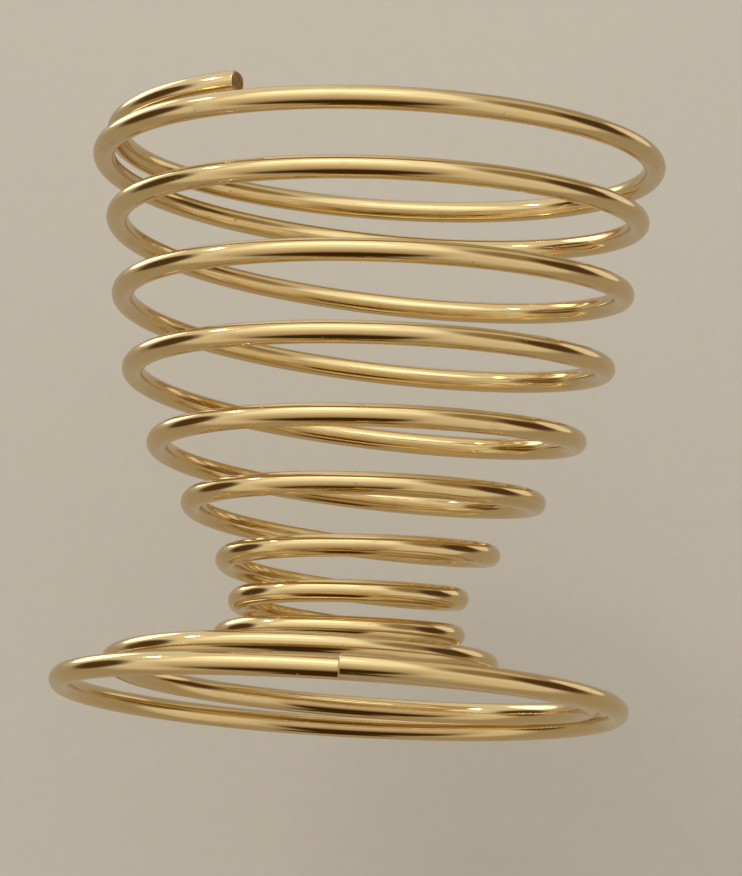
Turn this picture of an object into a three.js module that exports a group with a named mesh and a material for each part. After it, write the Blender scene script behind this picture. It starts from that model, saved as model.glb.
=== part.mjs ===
// Spring wire stand: one round wire wound as an open cup on a narrow waist and a closed foot ring.
// Millimetres, +Z up. The foot stands on z = 0 and the coil's axis is close to the Z axis.
// The wire is cut into half turns, one mesh each, because a coil spring flexes along its whole length.
import * as THREE from 'three';

// ---- driving dimensions ----------------------------------------------------------------------
const WIRE_DIAMETER = 2.0;
const FOOT_RADIUS = 24.7; // to the middle of the wire, like every radius here
const INNER_FOOT_RADIUS = 22.5; // where the flare runs down inside the foot ring
const WAIST_RADIUS = 9.5;
const RIM_RADIUS = 24.8;
const RIM_HEIGHT = 50.6;
const LEAN_X = 0.018; // how far the coil above the foot leans towards +X, as a share of its height
const LEAN_Y = -0.054; // and towards +Y
const LEVEL_BELOW = 2.2; // the foot's turns lie level up to this height
const LEANING_FROM = 7.0; // and the turns lean in full from this one
const FOOT_SHIFT_X = -0.49; // the foot ring's middle along X, so that foot and rim straddle the Z axis
const FOOT_SHIFT_Y = 1.4;
const START_TURN = -0.155; // the wire's free end on the rim
const END_TURN = 11.75; // the wire's other end, outside the flare, where it closes the foot ring
const CUT_GAP = 0.3; // between one half turn's end face and the next

const SECTION_SIDES = 12;
const STEPS_PER_TURN = 24;

// The section has a flat side underneath, so the foot's wire rests on it, a little nearer than its radius.
const FOOT_HEIGHT = (WIRE_DIAMETER / 2) * Math.cos(Math.PI / SECTION_SIDES);

// The wire's path from rim to foot, as [turn, radius, height], both to the middle of the wire.
// Turn 0 is on the -X side, and each turn runs down clockwise as seen from above.
const COIL = [
  [START_TURN, 22.4, RIM_HEIGHT + 1.0],
  [0.1, 24.6, RIM_HEIGHT - 0.3],
  [0.5, RIM_RADIUS, RIM_HEIGHT],
  [1, 25.0, 48.1],
  [1.5, 23.7, 45.6],
  [2, 23.3, 42.4],
  [3, 22.2, 35.5],
  [4, 20.7, 28.8],
  [5, 17.9, 22.3],
  [6, 14.4, 17.2],
  [7, 10.9, 12.4],
  [8, WAIST_RADIUS, 8.9],
  [9, 10.6, 5.8],
  [9.5, 12.9, 4.7],
  [10, 20.3, 3.2],
  [10.25, INNER_FOOT_RADIUS, 2.7],
  [10.5, INNER_FOOT_RADIUS, 1.6],
  [10.75, INNER_FOOT_RADIUS + 0.1, FOOT_HEIGHT],
  [10.95, FOOT_RADIUS, FOOT_HEIGHT],
  [11.5, FOOT_RADIUS + 0.1, FOOT_HEIGHT],
  [END_TURN, FOOT_RADIUS + 0.2, FOOT_HEIGHT],
];

// ---- the wire's centre line ------------------------------------------------------------------

// Slope at each station for a smooth curve that never overshoots: flat at a turning point,
// otherwise the weighted harmonic mean of the slopes on either side (Fritsch and Carlson).
function stationSlopes(column) {
  const slopes = [];
  for (let i = 0; i < COIL.length; i += 1) {
    const before = i > 0 ? stepSlope(i - 1, column) : stepSlope(0, column);
    const after = i < COIL.length - 1 ? stepSlope(i, column) : before;
    slopes.push(before * after <= 0 ? 0 : (2 * before * after) / (before + after));
  }
  return slopes;
}

function stepSlope(i, column) {
  return (COIL[i + 1][column] - COIL[i][column]) / (COIL[i + 1][0] - COIL[i][0]);
}

const RADIUS_SLOPES = stationSlopes(1);
const HEIGHT_SLOPES = stationSlopes(2);

// The radius (column 1) or height (column 2) at any turn, by cubic Hermite pieces between stations.
function alongCoil(turn, column, slopes) {
  let i = 0;
  while (i < COIL.length - 2 && turn > COIL[i + 1][0]) {
    i += 1;
  }
  const span = COIL[i + 1][0] - COIL[i][0];
  const t = (turn - COIL[i][0]) / span;
  const start = COIL[i][column] * (1 + 2 * t) * (1 - t) ** 2;
  const startSlope = slopes[i] * span * t * (1 - t) ** 2;
  const end = COIL[i + 1][column] * t * t * (3 - 2 * t);
  const endSlope = slopes[i + 1] * span * t * t * (t - 1);
  return start + startSlope + end + endSlope;
}

// The middle of the wire at a turn. The lean fades out down to the foot, which stays level.
function wireCentre(turn) {
  const radius = alongCoil(turn, 1, RADIUS_SLOPES);
  const height = alongCoil(turn, 2, HEIGHT_SLOPES);
  const angle = Math.PI * (1 - 2 * turn);
  const x = radius * Math.cos(angle);
  const y = radius * Math.sin(angle);
  const raised = Math.max(0, height - FOOT_HEIGHT);
  const tipped = THREE.MathUtils.smoothstep(height, LEVEL_BELOW, LEANING_FROM);
  return new THREE.Vector3(
    FOOT_SHIFT_X + x + LEAN_X * raised,
    FOOT_SHIFT_Y + y + LEAN_Y * raised,
    height - tipped * (LEAN_X * x + LEAN_Y * y),
  );
}

// One stretch of the wire as a curve whose frames stay level, so the section's flat stays underneath.
class WireStretch extends THREE.Curve {
  constructor(fromTurn, toTurn) {
    super();
    this.fromTurn = fromTurn;
    this.toTurn = toTurn;
  }

  getPoint(t, target = new THREE.Vector3()) {
    return target.copy(wireCentre(this.fromTurn + (this.toTurn - this.fromTurn) * t));
  }

  computeFrenetFrames(segments) {
    const up = new THREE.Vector3(0, 0, 1);
    const frames = { tangents: [], normals: [], binormals: [] };
    for (let i = 0; i <= segments; i += 1) {
      const tangent = this.getTangentAt(i / segments).normalize();
      const normal = new THREE.Vector3().crossVectors(up, tangent).normalize();
      frames.tangents.push(tangent);
      frames.normals.push(normal);
      frames.binormals.push(new THREE.Vector3().crossVectors(tangent, normal));
    }
    return frames;
  }
}

// ---- shapes ----------------------------------------------------------------------------------

// The wire's section: a regular polygon turned so that one side faces straight down.
function wireSection() {
  const points = [];
  for (let i = 0; i < SECTION_SIDES; i += 1) {
    const angle = (2 * Math.PI * (i + 0.5)) / SECTION_SIDES;
    points.push(new THREE.Vector2(Math.cos(angle), Math.sin(angle)).multiplyScalar(WIRE_DIAMETER / 2));
  }
  return new THREE.Shape(points);
}

// How much of a turn the gap at a cut takes up, at that turn's radius.
function halfGapInTurns(turn) {
  return CUT_GAP / 2 / (2 * Math.PI * alongCoil(turn, 1, RADIUS_SLOPES));
}

// The wire from one turn to another, less half a gap at each cut. The wire's own two ends keep their length.
function wireStretch(fromTurn, toTurn) {
  const start = fromTurn > START_TURN ? fromTurn + halfGapInTurns(fromTurn) : fromTurn;
  const end = toTurn < END_TURN ? toTurn - halfGapInTurns(toTurn) : toTurn;
  return new THREE.ExtrudeGeometry(wireSection(), {
    steps: Math.ceil((end - start) * STEPS_PER_TURN),
    extrudePath: new WireStretch(start, end),
    bevelEnabled: false,
  });
}

// ---- the assembly ----------------------------------------------------------------------------

const brass = new THREE.MeshStandardMaterial({ color: 0xc9a65a, roughness: 0.3, metalness: 1.0 });

// The half turns from rim to foot. Each is centred on the -X or the +X side and ends on the +Y and -Y sides.
const HALF_TURN_NAMES = [
  'rim_end', 'rim_right', 'rim_left',
  'basket_right_1', 'basket_left_1', 'basket_right_2', 'basket_left_2', 'basket_right_3', 'basket_left_3',
  'basket_right_4', 'basket_left_4', 'basket_right_5', 'basket_left_5', 'basket_right_6', 'basket_left_6',
  'waist_right_1', 'waist_left_1', 'waist_right_2', 'waist_left_2',
  'flare_right', 'flare_left', 'foot_inner_right', 'foot_left', 'foot_end',
];

const stand = new THREE.Group();
HALF_TURN_NAMES.forEach((name, i) => {
  const middleTurn = i / 2;
  const mesh = new THREE.Mesh(
    wireStretch(Math.max(START_TURN, middleTurn - 0.25), Math.min(END_TURN, middleTurn + 0.25)),
    brass.clone(),
  );
  mesh.name = name;
  stand.add(mesh);
});

export default stand;
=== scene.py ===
# %% [markdown]
# # A springy stand, wound from one brass wire
#
# The object is one round brass wire, 2 mm thick. It is wound as a basket of spaced turns, a narrow
# waist and a flat foot ring, and both of its ends are cut off square. The CAD frame cuts that wire
# into half turns, because a stiff model can't flex. Here the wire is made whole again: each piece is
# swept along the same centre line and meets the next one face to face. The rim and the foot pieces
# move with their CAD bodies.

import math

import bmesh
import bpy
from mathutils import Matrix, Vector, noise


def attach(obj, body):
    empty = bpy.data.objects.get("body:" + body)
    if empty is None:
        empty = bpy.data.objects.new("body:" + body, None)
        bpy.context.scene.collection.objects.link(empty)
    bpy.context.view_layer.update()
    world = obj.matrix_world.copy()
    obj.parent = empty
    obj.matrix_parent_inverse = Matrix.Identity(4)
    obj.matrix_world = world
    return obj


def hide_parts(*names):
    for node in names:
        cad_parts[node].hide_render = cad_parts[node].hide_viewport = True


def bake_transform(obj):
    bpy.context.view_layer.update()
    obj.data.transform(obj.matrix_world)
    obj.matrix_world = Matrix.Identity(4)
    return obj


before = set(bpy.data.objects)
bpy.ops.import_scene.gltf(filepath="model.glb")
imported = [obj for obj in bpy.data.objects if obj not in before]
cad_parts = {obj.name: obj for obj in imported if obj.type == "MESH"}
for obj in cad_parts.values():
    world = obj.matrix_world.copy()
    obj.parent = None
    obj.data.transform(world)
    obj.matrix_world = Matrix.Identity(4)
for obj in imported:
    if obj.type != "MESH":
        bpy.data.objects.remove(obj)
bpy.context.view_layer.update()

# %% [markdown]
# ## The wire's centre line
#
# A winder sets a spring by a table: at this turn, this radius and this height. The same table drives
# the CAD. Between its rows the curve is a cubic whose slopes never overshoot, so that the closed turns
# of the foot stay level. A hand-drawn curve would look as good, but its pieces would drift away from
# the CAD solids that they stand for.

# %% The winding table, in millimetres
MM = 0.001
WIRE_RADIUS = 1.0
START_TURN, END_TURN = -0.155, 11.75
FOOT_HEIGHT = WIRE_RADIUS * math.cos(math.pi / 12)  # the CAD wire has twelve sides, and lies on one
WINDING = [  # turn, radius and height of the middle of the wire
    (START_TURN, 22.4, 51.6), (0.1, 24.6, 50.3), (0.5, 24.8, 50.6), (1, 25.0, 48.1), (1.5, 23.7, 45.6),
    (2, 23.3, 42.4), (3, 22.2, 35.5), (4, 20.7, 28.8), (5, 17.9, 22.3), (6, 14.4, 17.2), (7, 10.9, 12.4),
    (8, 9.5, 8.9), (9, 10.6, 5.8), (9.5, 12.9, 4.7), (10, 20.3, 3.2), (10.25, 22.5, 2.7), (10.5, 22.5, 1.6),
    (10.75, 22.6, FOOT_HEIGHT), (10.95, 24.7, FOOT_HEIGHT), (11.5, 24.8, FOOT_HEIGHT),
    (END_TURN, 24.9, FOOT_HEIGHT),
]  # fmt: skip
FOOT_MIDDLE = (-0.49, 1.4)
LEAN = (0.018, -0.054)  # the coil leans this much to +X and +Y for each millimetre above the foot
LEVEL_BELOW, LEANING_FROM = 2.2, 7.0


def table_slopes(column):
    """The slope at each row: flat at a turning point, otherwise the harmonic mean of both sides."""
    steps = [(b[column] - a[column]) / (b[0] - a[0]) for a, b in zip(WINDING, WINDING[1:])]
    sides = zip([steps[0], *steps], [*steps, steps[-1]])
    return [0 if before * after <= 0 else 2 * before * after / (before + after) for before, after in sides]


SLOPES = {column: table_slopes(column) for column in (1, 2)}


def read_table(turn, column):
    """The radius (column 1) or the height (column 2) at any turn."""
    row = max([i for i, station in enumerate(WINDING[:-1]) if station[0] < turn], default=0)
    (t0, *start), (t1, *end) = WINDING[row], WINDING[row + 1]
    span, u = t1 - t0, (turn - t0) / (t1 - t0)
    from_start = start[column - 1] * (1 + 2 * u) + SLOPES[column][row] * span * u
    from_end = end[column - 1] * (3 - 2 * u) - SLOPES[column][row + 1] * span * (1 - u)
    return from_start * (1 - u) ** 2 + from_end * u**2


def wire_centre(turn):
    """The middle of the wire, in metres. The coil tips with its lean, and the foot stays level."""
    radius, height, angle = read_table(turn, 1), read_table(turn, 2), math.pi * (1 - 2 * turn)
    x, y, raised = radius * math.cos(angle), radius * math.sin(angle), max(0, height - FOOT_HEIGHT)
    fade = min(max((height - LEVEL_BELOW) / (LEANING_FROM - LEVEL_BELOW), 0), 1)
    tipped = fade * fade * (3 - 2 * fade)
    point = Vector((
        FOOT_MIDDLE[0] + x + LEAN[0] * raised,
        FOOT_MIDDLE[1] + y + LEAN[1] * raised,
        height - tipped * (LEAN[0] * x + LEAN[1] * y),
    ))  # fmt: skip
    return point * MM


print("free end at the rim, mm:", [round(v / MM, 2) for v in wire_centre(START_TURN)])
print("cut end at the foot, mm:", [round(v / MM, 2) for v in wire_centre(END_TURN)])

# %% [markdown]
# ## Sweeping the wire
#
# A drawn wire is a circle pulled along a line, so that is how it is made here: one circle from
# `create_circle`, extruded ring by ring, each new ring set square to the line. A curve object with a
# round bevel would give the same tube. The rings are made by hand because each of them can then
# remember how far along the wire it is. The finish needs that to run its draw lines along the wire.

# %% How far along the wire each turn is
RING_SIDES = 40
RINGS_PER_TURN = 128
SLICE = 1 / 512  # of a turn, for measuring lengths and directions

lengths = [0.0]
for i in range(round((END_TURN - START_TURN) / SLICE)):
    turn = START_TURN + i * SLICE
    lengths.append(lengths[-1] + (wire_centre(turn + SLICE) - wire_centre(turn)).length)


def length_to(turn):
    """Metres of wire from the rim's free end to a turn."""
    place = min(max((turn - START_TURN) / SLICE, 0), len(lengths) - 1.001)
    i = int(place)
    return lengths[i] + (lengths[i + 1] - lengths[i]) * (place - i)


print(f"the wire is {lengths[-1]:.3f} m long")


# %% A frame square to the wire
def ring_frame(turn):
    """A matrix whose Z runs along the wire and whose X stays level."""
    along = (wire_centre(turn + SLICE / 2) - wire_centre(turn - SLICE / 2)).normalized()
    level = Vector((0, 0, 1)).cross(along).normalized()
    turned = Matrix((level, along.cross(level), along)).transposed()
    return Matrix.Translation(wire_centre(turn)) @ turned.to_4x4()


# %% One stretch of wire, closed at both ends
def sweep_wire(name, from_turn, to_turn):
    """The wire between two turns, as a bmesh. Each end is closed by one flat face."""
    rings = math.ceil((to_turn - from_turn) * RINGS_PER_TURN)
    wire = bmesh.new()
    straight = wire.verts.layers.float_vector.new("straight")
    made = bmesh.ops.create_circle(wire, cap_ends=True, segments=RING_SIDES, radius=WIRE_RADIUS * MM)
    ring = list(made["verts"])
    section = [v.co.copy() for v in ring]
    edges = list(wire.edges)
    for i in range(rings + 1):
        turn = from_turn + (to_turn - from_turn) * i / rings
        if i:
            drawn = bmesh.ops.extrude_edge_only(wire, edges=edges)["geom"]
            grown = {v for v in drawn if isinstance(v, bmesh.types.BMVert)}
            edges = [e for e in drawn if isinstance(e, bmesh.types.BMEdge)]
            ring = [next(e.other_vert(v) for e in v.link_edges if e.other_vert(v) in grown) for v in ring]
        place = ring_frame(turn)
        for v, flat in zip(ring, section):
            v.co = place @ flat
            v[straight] = (flat.x, flat.y, length_to(turn))
    bmesh.ops.contextual_create(wire, geom=edges)
    bmesh.ops.recalc_face_normals(wire, faces=wire.faces)
    for face in wire.faces:
        face.smooth = len(face.verts) == 4
        if not face.smooth:
            for e in face.edges:
                e.smooth = False
    print(f"{name}: turns {from_turn:g} to {to_turn:g}, {len(wire.faces)} faces")
    return wire


# %% [markdown]
# ## The brass
#
# The wire is bright drawn brass under a thin clear lacquer. Drawing it through a die leaves fine
# lines along its whole length, handling leaves duller, browner patches and a few small nicks, and the
# lacquer adds a second, sharper gloss. The `straight` attribute holds each point's place on the wire
# as if it were still straight, so the lines follow every bend, and no seam shows where two pieces
# meet. A pattern on plain object coordinates would cut across the wire instead.


# %% Small helpers for node trees
def new_material(name):
    """A material with a Principled shader: its node tree and that shader."""
    material = bpy.data.materials.new(name)
    material.use_nodes = True
    return material, material.node_tree, material.node_tree.nodes["Principled BSDF"]


def add_node(tree, kind, settings=None, **inputs):
    """A node, with its properties from settings, and its sockets as given: values or other sockets."""
    node = tree.nodes.new(kind)
    for key, value in (settings or {}).items():
        setattr(node, key, value)
    for key, value in inputs.items():
        socket = node.inputs[int(key[1:])] if key[0] == "i" and key[1:].isdigit() else node.inputs[key]
        if isinstance(value, bpy.types.NodeSocket):
            tree.links.new(value, socket)
        else:
            socket.default_value = value
    return node


def patchwork(tree, where, scale, stretch, detail, low, high):
    """Noise over the unbent wire, from 0 below low to 1 above high. Stretch is along the wire."""
    spread = add_node(tree, "ShaderNodeMapping", Vector=where, Scale=(scale, scale, scale / stretch))
    cloud = add_node(
        tree, "ShaderNodeTexNoise", Vector=spread.outputs[0], Scale=1.0, Detail=detail, Roughness=0.6
    )
    pick = {"From Min": low, "From Max": high}
    return add_node(tree, "ShaderNodeMapRange", Value=cloud.outputs[0], **pick).outputs[0]


def mix_colours(tree, share, first, second):
    """Colour mixed by a share. First and second are colours or sockets."""
    return add_node(tree, "ShaderNodeMix", {"data_type": "RGBA"}, i0=share, i6=first, i7=second).outputs[2]


def mix_numbers(tree, share, first, second):
    """Number mixed by a share."""
    return add_node(tree, "ShaderNodeMix", {"data_type": "FLOAT"}, i0=share, i2=first, i3=second).outputs[0]


# %% The drawn wire's patterns
BRIGHT_BRASS = (0.82, 0.66, 0.36, 1)
WARM_BRASS = (0.75, 0.57, 0.28, 1)
DULL_BRASS = (0.46, 0.32, 0.15, 1)

drawn_brass, tree, shader = new_material("drawn_brass")
unbent = add_node(tree, "ShaderNodeAttribute", {"attribute_name": "straight"}).outputs["Vector"]
draw_lines = patchwork(tree, unbent, 5200, 70, 3, 0.3, 0.7)
fine_lines = patchwork(tree, unbent, 14000, 120, 2, 0.3, 0.7)
warm_patches = patchwork(tree, unbent, 260, 4, 3, 0.38, 0.66)
handled = patchwork(tree, unbent, 700, 3, 4, 0.58, 0.74)
nicks = patchwork(tree, unbent, 1900, 1.6, 2, 0.73, 0.78)
print("drawn_brass: patterns take", len(tree.nodes), "nodes")

# %% The drawn wire's colour
colour = mix_colours(tree, warm_patches, BRIGHT_BRASS, WARM_BRASS)
lined = mix_colours(tree, draw_lines, colour, mix_colours(tree, warm_patches, WARM_BRASS, BRIGHT_BRASS))
worn = add_node(tree, "ShaderNodeMath", {"operation": "MULTIPLY"}, i0=handled, i1=0.35).outputs[0]
dulled = mix_colours(tree, worn, lined, DULL_BRASS)
nicked = add_node(tree, "ShaderNodeMath", {"operation": "MULTIPLY"}, i0=nicks, i1=0.6).outputs[0]
tree.links.new(mix_colours(tree, nicked, dulled, DULL_BRASS), shader.inputs["Base Color"])

# %% The drawn wire's gloss, draw lines and lacquer
SMOOTH, LINED, HANDLED, NICKED = 0.08, 0.13, 0.24, 0.5  # how rough each of them is
LINE_DEPTH = 0.000007

gloss = mix_numbers(tree, draw_lines, SMOOTH, LINED)
softer = mix_numbers(tree, handled, gloss, HANDLED)
tree.links.new(mix_numbers(tree, nicks, softer, NICKED), shader.inputs["Roughness"])
lines_together = mix_numbers(tree, 0.45, draw_lines, fine_lines)
dents = mix_numbers(tree, nicks, lines_together, 0.0)
relief = add_node(tree, "ShaderNodeBump", Height=dents, Strength=0.35, Distance=LINE_DEPTH)
tree.links.new(relief.outputs[0], shader.inputs["Normal"])
shader.inputs["Metallic"].default_value = 1.0
shader.inputs["Coat Weight"].default_value = 0.3
shader.inputs["Coat Roughness"].default_value = 0.1
print("drawn_brass:", len(tree.nodes), "nodes")

# %% [markdown]
# The cut ends are bare metal, torn by the cutter: darker, duller and browner than the drawn skin,
# with short ridges. Object coordinates are enough here, because nothing has to follow a bend.

# %% The sheared end faces
TORN_BRASS, STAINED_BRASS = (0.52, 0.33, 0.12, 1), (0.30, 0.17, 0.06, 1)
RIDGE_HEIGHT = 0.00006

cut_brass, tree, shader = new_material("cut_brass")
place = add_node(tree, "ShaderNodeTexCoord").outputs["Object"]
grain = add_node(tree, "ShaderNodeTexNoise", Vector=place, Scale=2600.0, Detail=5.0, Roughness=0.7)
torn = add_node(tree, "ShaderNodeMapping", Vector=place, Scale=(900, 900, 7000))
ridges = add_node(tree, "ShaderNodeTexNoise", Vector=torn.outputs[0], Scale=1.0, Detail=3.0)
pick = {"From Min": 0.35, "From Max": 0.7}
stained = add_node(tree, "ShaderNodeMapRange", Value=grain.outputs[0], **pick).outputs[0]
colour = mix_colours(tree, stained, TORN_BRASS, STAINED_BRASS)
tree.links.new(colour, shader.inputs["Base Color"])
tree.links.new(mix_numbers(tree, grain.outputs[0], 0.34, 0.62), shader.inputs["Roughness"])
relief = add_node(tree, "ShaderNodeBump", Height=ridges.outputs[0], Strength=0.6, Distance=RIDGE_HEIGHT)
tree.links.new(relief.outputs[0], shader.inputs["Normal"])
shader.inputs["Metallic"].default_value = 1.0
print("cut_brass:", len(tree.nodes), "nodes")

# %% [markdown]
# ## The two cut ends
#
# A cutter's jaws push the wire's skin over on one side before it shears, and leave a thin burr on the
# other. So the end face isn't a clean disc: its rim is rolled on top and sharp below, and the face
# itself is uneven. `inset_region` gives that face rings of its own to move, and the rim is bevelled.
# A boolean cut would be flatter and cleaner than any real cutter.

# %% Find a flat end face
def end_face(wire, turn):
    """The flat face that closes the wire at a turn."""
    flat = [f for f in wire.faces if len(f.verts) > 4]
    return min(flat, key=lambda f: (f.calc_center_median() - wire_centre(turn)).length)


# %% Shape one cut end, in millimetres
EDGE_ROUNDING = 0.14
FACE_RINGS = (0.16, 0.2, 0.22)  # the widths of the rings that the face gets, from its edge inwards
ROLLOVER = 0.16  # how far the edge is rolled back on its upper side
BURR = 0.10  # and drawn out on its lower side
SLANT = 0.04
TORN = ((0.05, 2200), (0.03, 6000))  # coarse and fine bumps: their height, and how many in a metre


def shape_cut_end(wire, turn, outward):
    """Shapes the flat face at a turn as a sheared end. Outward is +1 or -1 along the wire."""
    here = ring_frame(turn)
    to_ring, along = here.inverted(), here.to_3x3() @ Vector((0, 0, outward))
    edge = bmesh.ops.bevel(
        wire, geom=list(end_face(wire, turn).edges), offset=EDGE_ROUNDING * MM, offset_type="OFFSET",
        segments=4, profile=0.5, affect="EDGES", material=-1, clamp_overlap=True,
    )["faces"]  # fmt: skip
    end = end_face(wire, turn)
    cut = [end]
    for width in FACE_RINGS:
        cut += bmesh.ops.inset_region(wire, faces=[end], thickness=width * MM, use_even_offset=True)["faces"]
    cut += bmesh.ops.poke(wire, faces=[end])["faces"]
    cut, edge = [f for f in cut if f.is_valid], [f for f in edge if f.is_valid]
    for v in {v for f in [*cut, *edge] for v in f.verts}:
        spot = to_ring @ v.co
        side, reach = spot.y / (WIRE_RADIUS * MM), spot.xy.length / (WIRE_RADIUS * MM)
        torn = sum(height * noise.noise(v.co * often) for height, often in TORN)
        rolled = -ROLLOVER * max(side, 0) ** 2 * reach**4
        drawn_out = BURR * max(-side, 0) ** 3 * reach**6
        v.co += along * (torn + rolled + drawn_out + SLANT * side * (1 - reach)) * MM
    for f in cut:
        f.material_index = 1
    for f in [*cut, *edge]:
        f.smooth = True
    print(f"cut end at turn {turn:g}: {len(cut)} torn faces, {len(edge)} on its rounded edge")


# %% Turn a bmesh into a finished piece
pieces = []


def finish_piece(wire, name):
    """The bmesh as an object with the brass finishes."""
    mesh = bpy.data.meshes.new(name)
    wire.to_mesh(mesh)
    wire.free()
    mesh.materials.append(drawn_brass)
    mesh.materials.append(cut_brass)
    piece = bpy.data.objects.new(name, mesh)
    bpy.context.scene.collection.objects.link(piece)
    pieces.append(piece)
    return piece


# %% [markdown]
# ## The rim
#
# The top turn is closed: it starts at the free end, a little inside and above the ring, and runs once
# round. It moves as one, so it is one piece on one CAD body.

# %% The rim's wire
rim_wire = sweep_wire("rim_wire", START_TURN, 1)
shape_cut_end(rim_wire, START_TURN, -1)
rim = finish_piece(rim_wire, "rim_wire")
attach(rim, "rim")
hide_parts("rim_end", "rim_right", "rim_left")

# %% [markdown]
# ## The basket and the waist
#
# Every turn below the rim flexes. In the CAD each half turn is stiff and centred on the left or the
# right side, so a visual piece runs from one side to the other, between two half turns. Each piece
# starts where the last one stops. The two bodies at its ends and the points where it would meet them
# are worked out, but the piece isn't bent or attached to either: it stays where it is swept.

# %% Half turns from one side to the other
SIDE_NODES = [
    "rim_left", *(f"basket_{side}_{i}" for i in range(1, 7) for side in ("right", "left")),
    "waist_right_1", "waist_left_1",
]  # fmt: skip
UPPER_END_FIRST = {"basket_right_4"}  # starting from its lower end, it would miss the turn above
for i, (upper, lower) in enumerate(zip(SIDE_NODES, SIDE_NODES[1:])):
    from_turn, to_turn = 1 + i / 2, 1.5 + i / 2
    name = lower.replace("_right", "_wire_right").replace("_left", "_wire_left")
    piece = finish_piece(sweep_wire(name, from_turn, to_turn), name)
    upper_end, lower_end = wire_centre(from_turn), wire_centre(to_turn)
    across = Vector((math.copysign(WIRE_RADIUS * MM, upper_end.x - lower_end.x), 0, 0))
    ends = [(lower, Vector((lower_end.x, 0, 0)) + across), (upper, Vector((upper_end.x, 0, 0)) - across)]
    if lower in UPPER_END_FIRST:
        ends.reverse()
    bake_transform(piece)
    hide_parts(lower)

# %% [markdown]
# ## The waist's lower turn, the flare and the foot ring
#
# From the waist down nothing flexes: the flare runs out in one turn, drops down inside the foot ring,
# steps outwards and closes the ring outside itself. These pieces ride on the foot's body.

# %% The wire on the foot's body
for name, from_turn, to_turn, nodes in (
    ("waist_wire_lower", 8, 9.5, ["waist_right_2", "waist_left_2"]),
    ("flare_wire", 9.5, 10.5, ["flare_right", "flare_left"]),
    ("foot_ring_wire", 10.5, END_TURN, ["foot_inner_right", "foot_left", "foot_end"]),
):
    foot_wire = sweep_wire(name, from_turn, to_turn)
    if to_turn == END_TURN:
        shape_cut_end(foot_wire, END_TURN, 1)
    piece = finish_piece(foot_wire, name)
    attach(piece, "foot")
    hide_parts(*nodes)
print(len(pieces), "pieces,", sum(len(p.data.polygons) for p in pieces), "faces")

# %% [markdown]
# ## The studio
#
# A pale floor, a pale wall behind and soft light. Both surfaces are see-through from their back, as a
# one-way screen, so that a camera below the floor or behind the wall still sees the stand. They catch
# shadows but don't block or mirror light, and so the brass looks the same from every side.


# %% Pale paper, seen from one side only
def pale_paper(name, colour):
    """Matt paper that is clear from behind."""
    material, tree, shader = new_material(name)
    shader.inputs["Roughness"].default_value = 0.9  # paper has no shine
    place = add_node(tree, "ShaderNodeTexCoord").outputs["Object"]
    fibres = add_node(tree, "ShaderNodeTexNoise", Vector=place, Scale=900.0, Detail=4.0)
    shade = tuple(0.94 * c for c in colour[:3]) + (1,)
    tree.links.new(mix_colours(tree, fibres.outputs[0], shade, colour), shader.inputs["Base Color"])
    behind = add_node(tree, "ShaderNodeNewGeometry").outputs["Backfacing"]
    clear = add_node(tree, "ShaderNodeBsdfTransparent").outputs[0]
    sides = add_node(tree, "ShaderNodeMixShader", i0=behind, i1=shader.outputs[0], i2=clear)
    tree.links.new(sides.outputs[0], tree.nodes["Material Output"].inputs["Surface"])
    return material


def studio_sheet(name, matrix, size, colour):
    """A flat sheet that catches shadows, and neither throws one nor shows in the brass."""
    sheet = bmesh.new()
    bmesh.ops.create_grid(sheet, x_segments=1, y_segments=1, size=size, matrix=matrix)
    mesh = bpy.data.meshes.new(name)
    sheet.to_mesh(mesh)
    sheet.free()
    mesh.materials.append(pale_paper(name, colour))
    placed = bpy.data.objects.new(name, mesh)
    bpy.context.scene.collection.objects.link(placed)
    placed.visible_shadow = placed.visible_glossy = placed.visible_diffuse = False
    print(f"{name}: {placed.dimensions.x:.1f} m wide")


PAPER = (0.52, 0.5, 0.465, 1)
SHEET_REACH = 3.0  # metres from its middle to each edge
FLOOR_Z = -0.00004  # just under the round wire, which reaches a little lower than the CAD's flat side
WALL_Y = 0.055

stands_up = Matrix.Rotation(math.radians(90), 4, "X")
studio_sheet("floor", Matrix.Translation((0, 0, FLOOR_Z)), SHEET_REACH, PAPER)
studio_sheet("wall", Matrix.Translation((0, WALL_Y, 0)) @ stands_up, SHEET_REACH, PAPER)

# %% [markdown]
# Brass is a mirror, so what it shows is the room. The world here is bright in front and above, tan
# behind, and dark brown low down in front, which gives each turn a cream band on its upper side and
# a thin dark line under it. Two dark spots, left and right, end that cream band with a dark streak,
# and one straight below widens the dark line. A camera ray sees a plain pale colour instead, so that
# the room itself doesn't show.

# %% Directions in the room
world = bpy.data.worlds.new("room")
bpy.context.scene.world = world
world.use_nodes = True
room = world.node_tree
direction = add_node(room, "ShaderNodeTexCoord").outputs["Generated"]
split = add_node(room, "ShaderNodeSeparateXYZ", Vector=direction).outputs


def toward(azimuth, elevation):
    """A direction: azimuth 0 is in front of the stand and 90 on its right, in degrees."""
    a, e = math.radians(azimuth), math.radians(elevation)
    return math.sin(a) * math.cos(e), -math.cos(a) * math.cos(e), math.sin(e)


# %% Helpers for the room's light
def soft_step(value, start, end):
    """0 before start and 1 after end, with a smooth rise between them."""
    rise = {"From Min": start, "From Max": end}
    smooth = {"interpolation_type": "SMOOTHSTEP"}
    return add_node(room, "ShaderNodeMapRange", smooth, Value=value, **rise).outputs[0]


def facing(place):
    """How nearly a direction points to a place in the room: the cosine of the angle between them."""
    dot = {"operation": "DOT_PRODUCT"}
    return add_node(room, "ShaderNodeVectorMath", dot, i0=direction, i1=toward(*place)).outputs["Value"]


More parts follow.
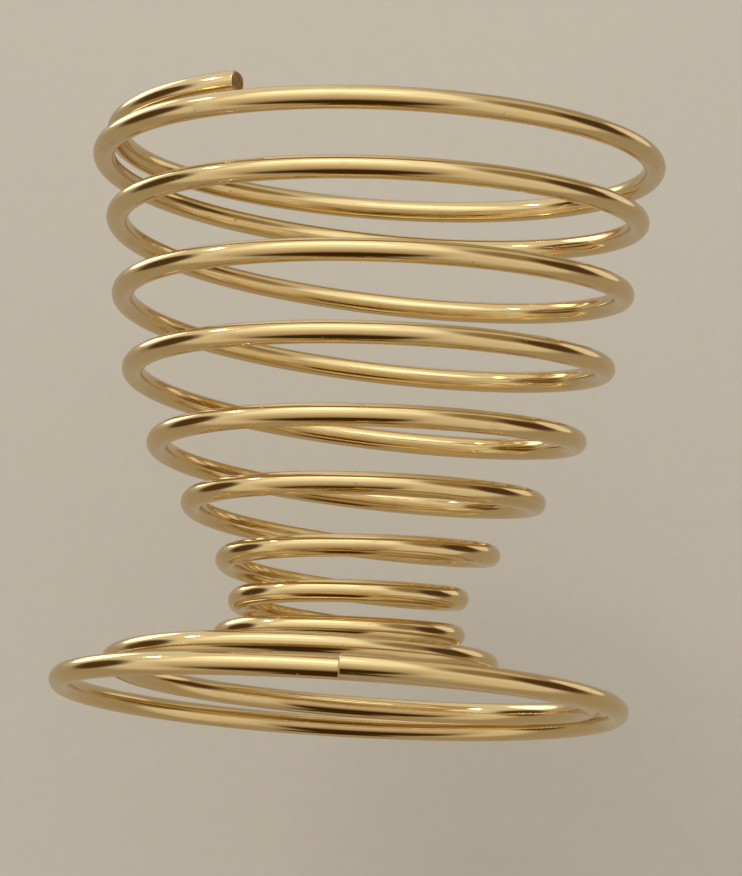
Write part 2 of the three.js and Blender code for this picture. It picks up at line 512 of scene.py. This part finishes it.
def maths(operation, *values):
    """One sum of the room's node tree."""
    numbers = {f"i{i}": value for i, value in enumerate(values)}
    return add_node(room, "ShaderNodeMath", {"operation": operation}, **numbers).outputs[0]


def bands(stops):
    """Colours by the sine of the elevation, from straight down to straight up."""
    height = add_node(room, "ShaderNodeMapRange", Value=split["Z"], **{"From Min": -1.0, "From Max": 1.0})
    ramp = add_node(room, "ShaderNodeValToRGB", Fac=height.outputs[0])
    while len(ramp.color_ramp.elements) < len(stops):
        ramp.color_ramp.elements.new(0.5)
    for element, (sine, colour) in zip(ramp.color_ramp.elements, stops):
        element.position, element.color = (sine + 1) / 2, (*colour, 1)
    return ramp.outputs[0]


# %% Bands of light, and where each of them lies
TAN, CREAM, DARK = (0.36, 0.29, 0.2), (1.15, 1.12, 1.02), (0.05, 0.022, 0.006)
PALE, CEILING, DUSK = (0.85, 0.8, 0.7), (0.6, 0.55, 0.46), (0.4, 0.33, 0.24)
FRONT_MIDDLE = math.radians(-18)  # azimuths: the middle of the front, and how far off it the front fades out
FRONT_EDGES = (math.radians(62), math.radians(44))
BEHIND = (0.02, 0.3)  # how far a direction points away from the front, as its Y

in_front = bands([
    (-1.0, DARK), (-0.74, DARK), (-0.52, (0.5, 0.4, 0.29)), (-0.28, (0.62, 0.52, 0.4)),
    (0.08, (0.84, 0.77, 0.65)), (0.28, CREAM), (0.95, CREAM), (1.0, (0.7, 0.64, 0.54)),
])  # fmt: skip
at_the_sides = bands([(-1.0, TAN), (-0.75, (0.7, 0.62, 0.5)), (0.1, PALE), (1.0, CEILING)])
azimuth = maths("ARCTAN2", split["X"], maths("MULTIPLY", split["Y"], -1))
off_middle = maths("ABSOLUTE", maths("ADD", azimuth, -FRONT_MIDDLE))
shaded = mix_colours(room, soft_step(off_middle, *FRONT_EDGES), at_the_sides, in_front)
shaded = mix_colours(room, soft_step(split["Y"], *BEHIND), shaded, (*DUSK, 1))
print("room: bands take", len(room.nodes), "nodes")

# %% Spots of light and dark
UMBER = (0.09, 0.045, 0.018)
SPOTS = (  # the direction of the middle, the angles to its outer and inner edge in degrees, the colour
    ((-115, 52), 48, 20, (0.8, 0.75, 0.66)),
    ((66, 25), 30, 12, (0.3, 0.22, 0.12)),
    ((94, 15), 27, 14, UMBER),
    ((-103, 6), 25, 14, UMBER),
    ((180, -86), 14, 9, DARK),
)
for place, outer, inner, colour in SPOTS:
    spot = soft_step(facing(place), math.cos(math.radians(outer)), math.cos(math.radians(inner)))
    shaded = mix_colours(room, spot, shaded, (*colour, 1))
print("room:", len(SPOTS), "spots")

# %% What the brass mirrors, and what the camera sees
BACKDROP = (0.55, 0.51, 0.45, 1)

seen = add_node(room, "ShaderNodeLightPath").outputs["Is Camera Ray"]
mirror_light = room.nodes["Background"]
room.links.new(shaded, mirror_light.inputs["Color"])
plain = add_node(room, "ShaderNodeBackground", Color=BACKDROP)
both = add_node(room, "ShaderNodeMixShader", i0=seen, i1=mirror_light.outputs[0], i2=plain.outputs[0])
room.links.new(both.outputs[0], room.nodes["World Output"].inputs["Surface"])
print("room:", len(room.nodes), "nodes")

# %% [markdown]
# One wide, soft lamp hangs in front and above and brightens the cream band. A small one on the left
# makes the sparkle that repeats on every turn. Two weak ones behind keep the back from going flat.
# The last one lights only the paper, and so gives the stand its soft shadow.

# %% Lamps
MIDDLE = Vector((0, 0, 0.026))
WARM_LIGHT = (1.0, 0.93, 0.82)


def soft_lamp(name, place, size, power, mirrored=True):
    """An oval lamp that faces the middle of the stand and that the camera doesn't see."""
    data = bpy.data.lights.new(name, "AREA")
    data.shape = "ELLIPSE"
    data.size, data.size_y = size
    data.energy, data.color = power, WARM_LIGHT
    lamp = bpy.data.objects.new(name, data)
    lamp.location = place
    lamp.rotation_mode = "QUATERNION"
    lamp.rotation_quaternion = (MIDDLE - Vector(place)).to_track_quat("-Z", "Y")
    lamp.visible_camera = False
    lamp.visible_glossy = mirrored
    bpy.context.scene.collection.objects.link(lamp)


soft_lamp("wide_lamp", (-0.245, -0.525, 0.574), (0.85, 0.3), 0.45)
soft_lamp("sparkle_lamp", (-0.465, -0.067, 0.38), (0.05, 0.05), 0.2)
soft_lamp("back_left_lamp", (-0.5, 0.5, 0.5), (0.4, 0.4), 0.6)
soft_lamp("back_right_lamp", (0.6, 0.4, 0.4), (0.4, 0.4), 0.2)
soft_lamp("paper_lamp", (-0.35, -0.5, 0.75), (0.3, 0.3), 4.0, mirrored=False)

# %% [markdown]
# ## The camera
#
# It is 0.3 m in front of the stand, a little below the foot, looks slightly up and is rolled a few
# degrees. From so near, the foot ring and the rim both show as open ellipses.

# %% Place the camera
LOOKS_UP = math.radians(10.785)
ROLL = math.radians(3.471)
DISTANCE = 0.29869
AIM = Vector((0, 0, 0.027))
ASIDE, UPWARD = 0.00087, -0.002622  # metres, along the picture's own width and height
FOCAL_LENGTH, SENSOR_WIDTH = 136.4342, 36.0  # millimetres

ahead = Vector((0, math.cos(LOOKS_UP), math.sin(LOOKS_UP)))
rolled = Matrix.Rotation(-ROLL, 3, ahead)
right = rolled @ Vector((1, 0, 0))
up = right.cross(ahead)
lens = bpy.data.cameras.new("camera")
lens.sensor_fit, lens.sensor_width, lens.lens = "AUTO", SENSOR_WIDTH, FOCAL_LENGTH
lens.clip_start, lens.clip_end = 0.01, 20.0
camera = bpy.data.objects.new("camera", lens)
camera.matrix_world = (
    Matrix.Translation(AIM - ahead * DISTANCE + right * ASIDE + up * UPWARD)
    @ Matrix((right, up, -ahead)).transposed().to_4x4()
)
bpy.context.scene.collection.objects.link(camera)
bpy.context.scene.camera = camera
bpy.context.scene.view_settings.view_transform = "Standard"
print("camera at, mm:", [round(v / MM, 1) for v in camera.matrix_world.translation])
